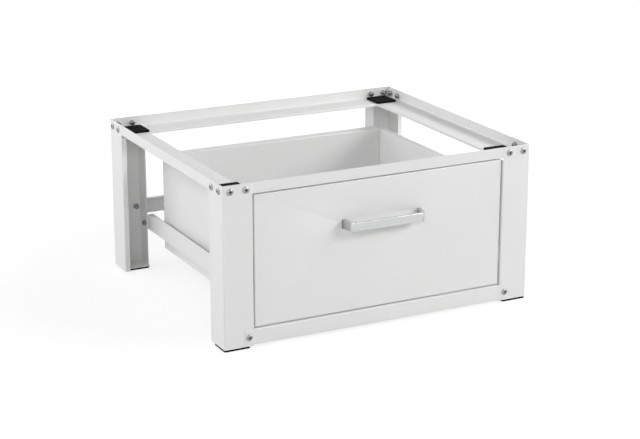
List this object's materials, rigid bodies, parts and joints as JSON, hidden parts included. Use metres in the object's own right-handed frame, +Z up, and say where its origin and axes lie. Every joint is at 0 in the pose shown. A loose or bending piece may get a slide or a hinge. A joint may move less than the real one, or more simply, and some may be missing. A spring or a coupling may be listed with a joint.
{
  "type": "washing machine pedestal drawer",
  "caption": "Low sheet steel stand that raises a washing machine, with a rimmed ledge, rubber pads and a pull-out storage drawer on full extension ball slides.",
  "frame": {"origin": "on the floor, in the middle of the bounding box seen from above", "axes": "+X across the stand to the right as seen from the front, +Y from the drawer's front to the rear, +Z up"},
  "size_m": [0.6358, 0.5721, 0.305],
  "materials": {
    "white_steel": "white powder coat, satin",
    "rubber_pad": "matt black",
    "zinc_fastener": "zinc plate, darkened",
    "slide_steel": "bright zinc plate",
    "ball_strip_steel": "bright steel, oiled",
    "handle_metal": "satin, brushed along its length"
  },
  "bodies": {
    "frame": {"leg_front_left": "white_steel", "leg_front_right": "white_steel", "leg_rear_left": "white_steel", "leg_rear_right": "white_steel", "top_rail_front": "white_steel", "top_rail_rear": "white_steel", "top_rail_left": "white_steel", "top_rail_right": "white_steel", "brace_front": "white_steel", "brace_rear": "white_steel", "runner_rail_left": "white_steel", "runner_rail_right": "white_steel", "foot_pad_front_left": "rubber_pad", "foot_pad_front_right": "rubber_pad", "foot_pad_rear_left": "rubber_pad", "foot_pad_rear_right": "rubber_pad", "ledge_pad_front_left": "rubber_pad", "ledge_pad_front_right": "rubber_pad", "ledge_pad_rear_left": "rubber_pad", "ledge_pad_rear_right": "rubber_pad", "rim_bolts": "zinc_fastener", "rim_nuts": "zinc_fastener", "brace_bolts": "zinc_fastener", "brace_nuts": "zinc_fastener", "runner_bolts": "zinc_fastener", "runner_nuts": "zinc_fastener", "slide_channel_left": "slide_steel", "slide_channel_right": "slide_steel", "slide_rivets_left": "white_steel", "slide_rivets_right": "white_steel"},
    "drawer": {"slide_inner_left": "slide_steel", "slide_inner_right": "slide_steel", "drawer_slide_rivets": "zinc_fastener", "drawer_panel": "white_steel", "drawer_inner_front": "white_steel", "drawer_side_left": "white_steel", "drawer_side_right": "white_steel", "drawer_back": "white_steel", "drawer_floor": "white_steel", "floor_rivets": "white_steel", "back_rivets": "white_steel", "panel_screws": "zinc_fastener", "handle": "handle_metal", "handle_screws": "zinc_fastener"},
    "slide_middle_left": {"slide_middle_left": "slide_steel"},
    "ball_strips_outer_left": {"ball_strips_outer_left": "ball_strip_steel"},
    "ball_strips_inner_left": {"ball_strips_inner_left": "ball_strip_steel"},
    "slide_middle_right": {"slide_middle_right": "slide_steel"},
    "ball_strips_outer_right": {"ball_strips_outer_right": "ball_strip_steel"},
    "ball_strips_inner_right": {"ball_strips_inner_right": "ball_strip_steel"}
  },
  "joints": [
    {"name": "drawer_slide", "type": "slide", "parent": "frame", "child": "drawer", "axis": [0, -1, 0], "range_m": [0, 0.38]},
    {"name": "slide_middle_left_slide", "type": "slide", "parent": "frame", "child": "slide_middle_left", "axis": [0, -1, 0], "range_m": [0, 0.19]},
    {"name": "ball_strips_outer_left_slide", "type": "slide", "parent": "frame", "child": "ball_strips_outer_left", "axis": [0, -1, 0], "range_m": [0, 0.095]},
    {"name": "ball_strips_inner_left_slide", "type": "slide", "parent": "frame", "child": "ball_strips_inner_left", "axis": [0, -1, 0], "range_m": [0, 0.285]},
    {"name": "slide_middle_right_slide", "type": "slide", "parent": "frame", "child": "slide_middle_right", "axis": [0, -1, 0], "range_m": [0, 0.19]},
    {"name": "ball_strips_outer_right_slide", "type": "slide", "parent": "frame", "child": "ball_strips_outer_right", "axis": [0, -1, 0], "range_m": [0, 0.095]},
    {"name": "ball_strips_inner_right_slide", "type": "slide", "parent": "frame", "child": "ball_strips_inner_right", "axis": [0, -1, 0], "range_m": [0, 0.285]}
  ],
  "couplings": [
    {"joint": "slide_middle_left_slide", "follows": "drawer_slide", "ratio": 0.5},
    {"joint": "ball_strips_outer_left_slide", "follows": "drawer_slide", "ratio": 0.25},
    {"joint": "ball_strips_inner_left_slide", "follows": "drawer_slide", "ratio": 0.75},
    {"joint": "slide_middle_right_slide", "follows": "drawer_slide", "ratio": 0.5},
    {"joint": "ball_strips_outer_right_slide", "follows": "drawer_slide", "ratio": 0.25},
    {"joint": "ball_strips_inner_right_slide", "follows": "drawer_slide", "ratio": 0.75}
  ]
}
